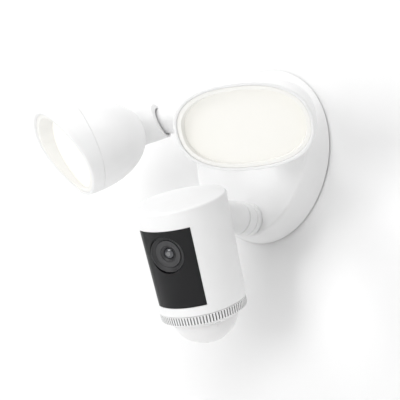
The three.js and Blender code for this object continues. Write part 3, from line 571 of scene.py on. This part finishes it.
def bowl_point(i, depth, inset):
    """Point i of the head's oval at a depth behind the rim, drawn in by inset."""
    angle = 2 * math.pi * i / OVAL_POINTS
    power = 2 / LAMP["roundness"]
    cos, sin = math.cos(angle), math.sin(angle)
    scale = bowl_scale(depth, inset)
    x = math.copysign(abs(cos) ** power, cos) * (LAMP["half_width"] - inset) * scale
    z = math.copysign(abs(sin) ** power, sin) * (LAMP["half_height"] - inset) * scale
    return Vector((x, LAMP["rim_y"] + depth, LAMP["rim_z"] + z))


def plane_depths(plane, inset, behind=0.0):
    """Depth of each point of the oval where a plane across the head, moved back, meets the bowl."""
    lean = plane["lean"] * DEG
    depths = []
    for i in range(OVAL_POINTS):
        depth = plane["depth"]
        for _ in range(12):
            height = bowl_point(i, depth, inset).z - LAMP["rim_z"]
            depth = plane["depth"] + (behind - math.sin(lean) * height) / math.cos(lean)
        depths.append(depth)
    return depths


def plane_ring(plane, inset, behind=0.0):
    depths = plane_depths(plane, inset, behind)
    return [bowl_point(i, depth, inset) for i, depth in enumerate(depths)]


def rings_between(start, end, inset, shares):
    """Rings of the bowl whose depths change from one list of depths to another."""
    rings = []
    for share in shares:
        depths = [near + (far - near) * share for near, far in zip(start, end)]
        rings.append([bowl_point(i, depth, inset) for i, depth in enumerate(depths)])
    return rings


def make_front_shell(name, place):
    """The visor: its rim is rounded over, its rear edge meets the rear housing at the seam."""
    wall, lip = LAMP["wall"], 1.0
    rings = rings_between(
        plane_depths(SEAM, 0, -SEAM_HALF), plane_depths(RIM, 0, lip), 0, spread(0, 1, 14)
    )
    rings += [plane_ring(RIM, inset, behind) for inset, behind in RIM_LIP]
    rings += rings_between(
        plane_depths(RIM, wall, lip), plane_depths(SEAM, wall, -SEAM_HALF), wall, spread(0, 1, 14)
    )
    shape = rings_to_mesh(rings, wrap=True)
    node = name + "_lamp_front_shell"
    finish_piece(name + "_lamp_shell", shape, place, name + "_lamp", "white_housing", [node], 0.15)


def make_bezel(name, place):
    """The band between the rim and the lens, drawn in a little towards the lens."""
    outer = LAMP["wall"] + BEZEL["gap"]
    inner = outer + BEZEL["thick"]
    front, rear, draw = BEZEL["set_back"], -0.3, 0.9
    rings = [plane_ring(LENS_PLANE, outer, rear), plane_ring(RIM, outer, front)]
    rings.append(plane_ring(RIM, inner - 0.5, front))
    for share in spread(0, 1, 6):
        inset = inner + draw * share
        start, end = plane_depths(RIM, inset, front), plane_depths(LENS_PLANE, inset, rear)
        rings += rings_between(start, end, inset, [share])
    shape = rings_to_mesh(rings, wrap=True)
    node = name + "_lamp_bezel"
    finish_piece(name + "_lamp_rim_ring", shape, place, name + "_lamp", "lamp_bezel", [node], 0.3, 28)


def make_lens(name, place):
    """The frosted lens: slightly domed, with a glow that falls off towards its edge."""
    outer = LAMP["wall"] + BEZEL["gap"]
    lean = LENS_PLANE["lean"] * DEG
    ahead = Vector((0, -math.cos(lean), -math.sin(lean)))
    centre = Vector((0, LAMP["rim_y"] + LENS_PLANE["depth"], LAMP["rim_z"]))
    edge = plane_ring(LENS_PLANE, outer)
    rings = []
    for share in (0.0, 0.15, 0.3, 0.45, 0.6, 0.72, 0.82, 0.9, 0.96, 1.0):
        crown = ahead * LENS_CROWN * (1 - share ** 2)
        rings.append([centre + (point - centre) * share + crown for point in edge])
    rings.append(plane_ring(LENS_PLANE, outer, LENS_THICK))
    rings.append([centre - ahead * LENS_THICK] * OVAL_POINTS)
    shape = rings_to_mesh(rings)
    node = name + "_lamp_lens"
    piece = finish_piece(
        name + "_lamp_frosted_lens", shape, place, name + "_lamp", "lamp_lens", [node], 0
    )
    reach = LAMP["half_width"] * MM
    middle = place @ (centre * MM)
    glow = piece.data.attributes.new("glow", "FLOAT", "POINT")
    for vertex, value in zip(piece.data.vertices, glow.data):
        away = (vertex.co - middle).length / reach
        value.value = max(0.0, 1 - away ** GLOW_FALL)


def hooded_neck(profile, mouth, bore):
    """A turned neck that ends in a hollow hood round the ball, cut open square to mouth."""
    outer = profile + arc(HOOD["outer"], 0, 88, 14, 0, 0) + [(0, HOOD["outer"])]
    inner = [(0, profile[0][1]), (bore, profile[0][1])]
    socket = math.degrees(math.acos(bore / HOOD["inner"]))
    inner += arc(HOOD["inner"], -socket, 88, 24, 0, 0) + [(0, HOOD["inner"])]
    shape = join(rings_to_mesh(lathe(outer, "Y", 96)), rings_to_mesh(lathe(inner, "Y", 96)))
    geometry = list(shape.verts) + list(shape.edges) + list(shape.faces)
    bmesh.ops.bisect_plane(
        shape, geom=geometry, dist=1e-5, plane_co=-mouth * HOOD["set_back"], plane_no=mouth,
        clear_outer=True,
    )
    lip = [edge for edge in shape.edges if len(edge.link_faces) == 1
           and all(abs(v.co.dot(mouth) + HOOD["set_back"]) < 1e-3 for v in edge.verts)]
    bmesh.ops.triangle_fill(shape, edges=lip, normal=mouth, use_beauty=True)
    return shape


def make_rear_housing(side, name, place):
    wall, tip = LAMP["wall"], LAMP["depth"]
    closing = [1 - (1 - share) ** 1.8 for share in spread(0, 1, 30)]
    outer = rings_between(plane_depths(SEAM, 0, SEAM_HALF), [tip - 0.25] * OVAL_POINTS, 0, closing)
    outer.append([bowl_point(0, tip, 0)] * OVAL_POINTS)
    floor = [tip - wall - 0.4] * OVAL_POINTS
    cavity = rings_between(plane_depths(SEAM, wall, SEAM_HALF), floor, wall, closing[::3])
    bowl = rings_to_mesh([cavity[-1][:1] * OVAL_POINTS] + cavity[::-1] + outer)
    profile = [(NECK["root"], NECK["root_y"] + 4), (NECK["root"], NECK["root_y"] + 9)]
    profile += [(NECK["waist"], NECK["waist_y"]), (HOOD["outer"] + 0.2, -8), (HOOD["outer"], -3)]
    mouth = Vector((-side * MOUTH.x, MOUTH.y, 0))
    neck = hooded_neck(profile, mouth, NECK["bore"])
    node = name + "_lamp_rear_housing"
    finish_piece(
        name + "_lamp_rear_shell", join(bowl, neck), place, name + "_lamp", "white_housing", [node], 0.15
    )


def make_lamp(side, name):
    place = lamp_place(side, name)
    make_front_shell(name, place)
    make_bezel(name, place)
    make_lens(name, place)
    make_rear_housing(side, name, place)


make_lamp(-1, "left")
make_lamp(1, "right")


# ---------------------------------------------------------------- camera
CAMERA = {
    "pan": 9.5,
    "tilt": 24.9,
    "axis_y": -49.5,
    "centre_z": -16.0,
    "top_radius": 35.0,
    "vent_radius": 33.0,
    "top": 45.0,
    "vent_top": -34.8,
    "vent_bottom": -41.6,
    "skirt": 31.6,
    "wall": 2.5,
    "edge": 1.6,
}
PANEL = {"half_angle": 37.7, "top": 31.3, "bottom": -27.3, "seam": 0.25}
LENS = {
    "z": 13.4,
    "front": -31.7,
    "ring": 13.6,
    "ring_depth": 7.0,
    "face": 10.2,
    "set_back": 1.4,
    "length": 12.2,
    "well": 5.7,
    "element": 4.0,
    "seat": 3.4,
    # radius of the paler disc in the middle of the front element: a painted highlight
    "painted_highlight": 1.5,
}
SLOTS = 88
SLOT_EDGES = (0.0, 0.06, 0.36, 0.42)  # rim, floor, floor and rim of a slot, as shares of one step
SLOT_DEPTH = 1.5
VENT_TAPER = 0.5
DOME = {"radius": 24.6, "top": -46.0, "bottom": -66.2, "wall": 1.8, "taper": 1.12, "fullness": 1.1}
SOCKET = {"root": 17.4, "root_y": -19.0, "waist": 15.4, "waist_y": -12.0, "bore": 6.5}
BUTTON = {"radius": 4.6, "z": -14.0, "face": 33.2, "thick": 4.0}


def camera_turn():
    return Matrix.Rotation(CAMERA["pan"] * DEG, 4, "Z") @ Matrix.Rotation(CAMERA["tilt"] * DEG, 4, "X")


def camera_place():
    """From the cylinder's own frame to the row's."""
    middle = Matrix.Translation(Vector((0, CAMERA["axis_y"], CAMERA["centre_z"])) * MM)
    return Matrix.Translation(JOINTS["camera_pan"]["pos_m"]) @ camera_turn() @ middle


CYLINDER = camera_place()


def shell_radius(height):
    share = (CAMERA["top"] - height) / (CAMERA["top"] - CAMERA["vent_top"])
    return CAMERA["top_radius"] + (CAMERA["vent_radius"] - CAMERA["top_radius"]) * share


def on_cylinder(radius, angle, height):
    """A point of the upright cylinder; angle 0 is the front, in degrees."""
    return (radius * math.sin(angle * DEG), -radius * math.cos(angle * DEG), height)


def curved_patch(angles, heights, outset, thick):
    """A closed slab of the cylinder's wall, from angles (0 is the front) and heights."""
    shape = bmesh.new()
    layers = []
    for depth in (0, thick):
        rows = []
        for height in heights:
            radius = shell_radius(height) + outset - depth
            rows.append([shape.verts.new(on_cylinder(radius, angle, height)) for angle in angles])
        layers.append(rows)
    outer, inner = layers
    last, end = len(heights) - 1, len(angles) - 1
    for r in range(last):
        for c in range(end):
            for rows in layers:
                shape.faces.new((rows[r][c], rows[r][c + 1], rows[r + 1][c + 1], rows[r + 1][c]))
        for c in (0, end):
            shape.faces.new((outer[r][c], inner[r][c], inner[r + 1][c], outer[r + 1][c]))
    for c in range(end):
        for r in (0, last):
            shape.faces.new((outer[r][c], inner[r][c], inner[r][c + 1], outer[r][c + 1]))
    return shape


def window_shell():
    """The cylinder's wall with its window for the black panel, closed at the top."""
    half = PANEL["half_angle"] + PANEL["seam"] / CAMERA["top_radius"] / DEG
    window = spread(-half, half, 24)
    angles = window + spread(half, 360 - half, 92)[1:-1]
    bottom = CAMERA["vent_top"] + 0.3
    low, high = PANEL["bottom"] - PANEL["seam"], PANEL["top"] + PANEL["seam"]
    top, edge, wall = CAMERA["top"], CAMERA["edge"], CAMERA["wall"]
    heights = spread(bottom, low, 3) + spread(low, high, 14)[1:] + spread(high, top - edge, 4)[1:]
    shape = bmesh.new()

    def ring(radius, height):
        return [shape.verts.new(on_cylinder(radius, angle, height)) for angle in angles]

    outer = [ring(shell_radius(h), h) for h in heights]
    inner = [ring(shell_radius(h) - wall, h) for h in heights]
    corner = arc(edge, 0, 90, 6, shell_radius(top - edge) - edge, top - edge)
    crown = [ring(*pair) for pair in corner[1:]]
    lid = [ring(radius, top) for radius in (26, 17, 8)]
    ceiling = [ring(radius, top - wall) for radius in (shell_radius(top) - wall, 16)]
    count, panel_columns = len(angles), len(window) - 1

    def sew(near, far, skip=False):
        for i in range(count):
            if skip and i < panel_columns:
                continue
            j = (i + 1) % count
            shape.faces.new((near[i], near[j], far[j], far[i]))

    for k, height in enumerate(heights[:-1]):
        skip = low - 1e-6 <= height < high - 1e-6
        sew(outer[k], outer[k + 1], skip)
        sew(inner[k], inner[k + 1], skip)
    first = heights.index(low)
    final = heights.index(high)
    for k in range(first, final):
        for column in (0, panel_columns):
            quad = (outer[k][column], inner[k][column], inner[k + 1][column], outer[k + 1][column])
            shape.faces.new(quad)
    for k in (first, final):
        for i in range(panel_columns):
            shape.faces.new((outer[k][i], inner[k][i], inner[k][i + 1], outer[k][i + 1]))
    sew(outer[0], inner[0])
    path = [outer[-1]] + crown + lid
    for near, far in zip(path, path[1:]):
        sew(near, far)
    shape.faces.new(lid[-1])
    sew(inner[-1], ceiling[0])
    sew(ceiling[0], ceiling[1])
    shape.faces.new(ceiling[-1])
    return shape


def make_camera_shell():
    finish_piece(
        "camera_body_shell", window_shell(), CYLINDER, "camera_head", "white_housing",
        ["camera_shell"], 0.25, 40,
    )


def make_front_panel():
    """The polished panel, with the round hole that the lens looks through."""
    half, hole = PANEL["half_angle"], LENS["ring"] + 0.25
    heights = spread(PANEL["bottom"], PANEL["top"], 24)
    slab = curved_patch(spread(-half, half, 40), heights, -0.05, 2.4)
    front = -CAMERA["top_radius"]
    plug = [(0, front - 5), (hole, front - 5), (hole, front + 12), (0, front + 12)]
    tool = rings_to_mesh(lathe(plug, "Y", 96, (0, 0, LENS["z"])))
    finish_piece(
        "camera_black_panel", drill(slab, tool), CYLINDER, "camera_head", "black_panel",
        ["camera_front_panel"], 0.35, 40,
    )


def make_lens_ring():
    """A thin rim with a dark funnel that leads in to the lens face."""
    front, ring, face = LENS["front"], LENS["ring"], LENS["face"] + 0.3
    rear = front + LENS["ring_depth"]
    rim = [(face, rear), (ring, rear), (ring, front + 0.4), (ring - 0.1, front + 0.15)]
    rim += [(ring - 0.35, front), (ring - 0.7, front), (ring - 0.95, front + 0.15)]
    rim += [(ring - 1.1, front + 0.5), (face + 0.6, front + 1.5), (face, front + 1.9)]
    finish_piece(
        "camera_lens_bezel", rings_to_mesh(lathe(rim, "Y", 96, (0, 0, LENS["z"])), wrap=True),
        CYLINDER, "camera_head", "black_matt", ["camera_lens_ring"], 0.1,
    )


def make_lens_barrel():
    """The grey lens face: a flat ring, a groove, and a dished well round the front element."""
    face, outer, well, seat = LENS["front"] + LENS["set_back"], LENS["face"], LENS["well"], LENS["seat"]
    rear = face + LENS["length"]
    barrel = [(0, rear), (outer, rear), (outer, face + 0.2), (outer - 0.2, face), (well + 0.5, face + 0.3)]
    barrel += [(well + 0.4, face + 0.9), (well, face + 0.9), (well - 0.1, face + 0.5)]
    barrel += [(LENS["element"] + 0.3, face + 1.5), (LENS["element"] + 0.3, face + seat), (0, face + seat)]
    piece = finish_piece(
        "camera_lens_cone", rings_to_mesh(lathe(barrel, "Y", 96, (0, 0, LENS["z"]))), CYLINDER,
        "camera_head", "black_matt", ["camera_lens_barrel"], 0.1,
    )
    piece.data.materials[0] = LENS_FACE


def make_front_element():
    """The domed front element, with a paler disc in its middle that is a painted highlight."""
    radius, painted_highlight = LENS["element"], LENS["painted_highlight"]
    rear = LENS["front"] + LENS["set_back"] + LENS["seat"] - 0.3
    edge, rise = rear - 1.2, 1.6
    bulge = [(0, rear), (radius, rear), (radius, edge)]
    bulge += [(radius * math.cos(a * DEG), edge - rise * math.sin(a * DEG)) for a in range(10, 91, 8)]
    bulge[-1] = (0, edge - rise)
    shape = rings_to_mesh(lathe(bulge, "Y", 64, (0, 0, LENS["z"])))
    # The middle faces take the paler grey, a painted highlight on the front element.
    for face in shape.faces:
        middle = face.calc_center_median()
        if middle.y < edge and math.hypot(middle.x, middle.z - LENS["z"]) < painted_highlight:
            face.material_index = 1
    piece = finish_piece(
        "camera_front_element", shape, CYLINDER, "camera_head", "lens_glass",
        ["camera_lens_glass"], 0, 50,
    )
    piece.data.materials.append(PAINTED_HIGHLIGHT_GREY)


LENS_FACE = moulded("lens_face_grey", (0.033, 0.033, 0.035), 0.4, 2200, 0.00001, 0.1)
# A paler grey for the middle of the front element: a painted highlight.
PAINTED_HIGHLIGHT_GREY = moulded(
    "painted_highlight_grey", (0.15, 0.15, 0.155), 0.12, 900, 0.000003, 0.3, Coat_Weight=1.0, Coat_Roughness=0.04,
)


def make_vent_ring():
    """A band of narrow upright slots between two plain edges."""
    top, bottom, radius = CAMERA["vent_top"], CAMERA["vent_bottom"], CAMERA["vent_radius"]
    step = 360 / SLOTS
    angles = []
    for i in range(SLOTS):
        start = i * step
        angles += [start + share * step for share in SLOT_EDGES]
    heights = [top, top - 0.15, top - 0.35, top - 0.5, bottom + 0.5, bottom + 0.35, bottom + 0.15, bottom]
    shape = bmesh.new()
    count = len(angles)

    def outer_radius(height):
        return radius - VENT_TAPER * (top - height) / (top - bottom)

    def ring(height, cut, trim=0.0):
        points = []
        for i, angle in enumerate(angles):
            deep = SLOT_DEPTH if cut and i % 4 in (1, 2) else 0.0
            r = outer_radius(height) - deep - trim
            points.append(shape.verts.new((r * math.cos(angle * DEG), r * math.sin(angle * DEG), height)))
        return points

    rows = [ring(heights[0], False, 0.15)]
    rows += [ring(heights[1], False), ring(heights[2], False), ring(heights[3], True)]
    rows += [ring(heights[4], True), ring(heights[5], False), ring(heights[6], False)]
    rows += [ring(heights[7], False, 0.15), ring(bottom, False, 2.1), ring(top, False, 2.4)]
    for near, far in zip(rows, rows[1:] + rows[:1]):
        for i in range(count):
            j = (i + 1) % count
            face = shape.faces.new((near[i], near[j], far[j], far[i]))
            if near is rows[3] and i % 4 != 3:
                face.material_index = 1
    piece = finish_piece(
        "camera_slotted_band", shape, CYLINDER, "camera_head", "white_housing", ["camera_vent_ring"], 0
    )
    piece.data.materials.append(SHADOW_LINE)


def make_dome():
    edge = CAMERA["vent_bottom"] - 0.3

    def profile(inset):
        pairs = [(CAMERA["skirt"] - inset, edge), (DOME["radius"] + 1.6 - inset, DOME["top"] + 0.5)]
        for i in range(19):
            angle = i / 18 * 90 * DEG
            drop = (DOME["top"] - DOME["bottom"] - inset) * math.sin(angle) ** DOME["fullness"]
            across = max(math.cos(angle), 0) ** DOME["taper"]
            pairs.append(((DOME["radius"] - inset) * across, DOME["top"] - drop))
        pairs[-1] = (0, pairs[-1][1])
        return pairs

    shape = rings_to_mesh(lathe(profile(0)[::-1] + profile(DOME["wall"]), "Z", 96))
    finish_piece(
        "motion_sensor_cap", shape, CYLINDER, "camera_head", "sensor_dome", ["motion_sensor_dome"], 0.3
    )


def make_rear_socket():
    to_arm = camera_turn().inverted().to_3x3() @ Vector((0, 1, 0))
    profile = [(SOCKET["root"], SOCKET["root_y"]), (SOCKET["waist"] + 0.8, -15)]
    profile += [(SOCKET["waist"], SOCKET["waist_y"]), (HOOD["outer"] + 0.3, -7), (HOOD["outer"], -4)]
    shape = hooded_neck(profile, to_arm, SOCKET["bore"])
    place = Matrix.Translation(JOINTS["camera_pan"]["pos_m"]) @ camera_turn()
    finish_piece(
        "camera_ball_socket", shape, place, "camera_head", "white_housing", ["camera_rear_socket"], 0.35
    )


def make_setup_button():
    radius, face = BUTTON["radius"], BUTTON["face"]
    cap = [(0, face - BUTTON["thick"]), (radius, face - BUTTON["thick"]), (radius, face - 0.5)]
    cap += [(radius - 0.5, face), (radius - 1.2, face), (radius - 2.4, face - 0.35), (0, face - 0.45)]
    shape = rings_to_mesh(lathe(cap, "Y", 64, (0, 0, BUTTON["z"])))
    finish_piece(
        "setup_button_cap", shape, CYLINDER, "setup_button", "white_housing", ["setup_button"], 0.2
    )


make_camera_shell()
make_front_panel()
make_lens_ring()
make_lens_barrel()
make_front_element()
make_vent_ring()
make_dome()
make_rear_socket()
make_setup_button()


# ---------------------------------------------------------------- stage and light
# Metres, except the opening: its size as a share of the base's back outline.
STAGE = {"floor": -0.55, "wall": 0.0008, "side": 4.0, "top": 3.2, "opening": 0.85}
WALL_COLOR = (0.8, 0.8, 0.8)
FLOOR_COLOR = (0.9, 0.9, 0.9)
WORLD_LIGHT = 0.4
LIGHT_DISTANCE = 1.6
# Azimuth and elevation round the base as seen from the front, size in metres, and watts.
LIGHTS = {
    "left_rim": (-80, 25, 0.9, 9.2),
    "key": (-30, 50, 0.5, 7.8),
    "front": (-5, 0, 0.8, 8.4),
    "right_front": (20, 25, 0.8, 4.6),
    "right_high": (70, 50, 0.9, 6.2),
}


def stage_piece(name, points, faces, color, one_sided=False):
    n = Nodes(name)
    shader = n.shader(Roughness=0.9)
    shader.inputs["Specular IOR Level"].default_value = 0.1
    tone = n.remap(n.noise(6, 3), 0, 1)
    n.link(n.blend(tone, color, shade(color, 0.985)), shader.inputs["Base Color"])
    if one_sided:
        clear = n.add("ShaderNodeBsdfTransparent")
        mix = n.add("ShaderNodeMixShader")
        n.link(n.add("ShaderNodeNewGeometry").outputs["Backfacing"], mix.inputs["Fac"])
        n.link(shader.outputs["BSDF"], mix.inputs[1])
        n.link(clear.outputs["BSDF"], mix.inputs[2])
        n.link(mix.outputs["Shader"], n.output.inputs["Surface"])
    mesh = bpy.data.meshes.new(name)
    mesh.from_pydata(points, [], faces)
    mesh.materials.append(n.material)
    piece = bpy.data.objects.new(name, mesh)
    bpy.context.scene.collection.objects.link(piece)


def corner_miss(point, corner):
    """How far a point of the wall is from a corner of it."""
    return math.hypot(point[0] - corner[0], point[2] - corner[1])


def make_wall():
    """The wall, seen from the front only, with the junction box's opening behind the base."""
    side, top, low, y = STAGE["side"], STAGE["top"], STAGE["floor"], STAGE["wall"]
    hole = [point * MM for point in base_ring(0, 0, STAGE["opening"])]
    count = len(hole)
    points = [(point.x, y, point.z) for point in hole]
    for point in hole:
        reach = max(abs(point.x) / side, point.z / top, point.z / low)
        points.append((point.x / reach, y, point.z / reach))
    faces = []
    for i in range(count):
        j = (i + 1) % count
        faces.append((i, count + i, count + j, j))
    # The outer points miss the four corners, so that each corner gets a triangle of its own.
    for corner in ((side, top), (-side, top), (-side, low), (side, low)):
        near = min(range(count), key=lambda i: corner_miss(points[count + i], corner))
        after = (near + 1) % count
        if corner_miss(points[count + near - 1], corner) < corner_miss(points[count + after], corner):
            near, after = (near - 1) % count, near
        faces.append((count + near, len(points), count + after))
        points.append((corner[0], y, corner[1]))
    stage_piece("wall_backdrop", points, faces, WALL_COLOR, one_sided=True)


def area_light(name, azimuth, elevation, size, watts):
    data = bpy.data.lights.new(name, "AREA")
    data.energy = watts
    data.size = size
    lamp = bpy.data.objects.new(name, data)
    turn, rise = azimuth * DEG, elevation * DEG
    ahead = Vector((math.sin(turn) * math.cos(rise), -math.cos(turn) * math.cos(rise), math.sin(rise)))
    lamp.location = ahead * LIGHT_DISTANCE
    lamp.rotation_euler = (-ahead).to_track_quat("-Z", "Y").to_euler()
    bpy.context.scene.collection.objects.link(lamp)


def make_stage():
    side, low, y = STAGE["side"], STAGE["floor"], STAGE["wall"]
    make_wall()
    floor = [(-side, -side, low), (side, -side, low), (side, y, low), (-side, y, low)]
    stage_piece("floor", floor, [(0, 1, 2, 3)], FLOOR_COLOR)
    world = bpy.data.worlds.new("studio")
    world.use_nodes = True
    world.node_tree.nodes["Background"].inputs["Color"].default_value = (1, 1, 1, 1)
    world.node_tree.nodes["Background"].inputs["Strength"].default_value = WORLD_LIGHT
    bpy.context.scene.world = world
    bpy.context.scene.view_settings.view_transform = "Standard"
    for name, (azimuth, elevation, size, watts) in LIGHTS.items():
        area_light(name, azimuth, elevation, size, watts)


make_stage()
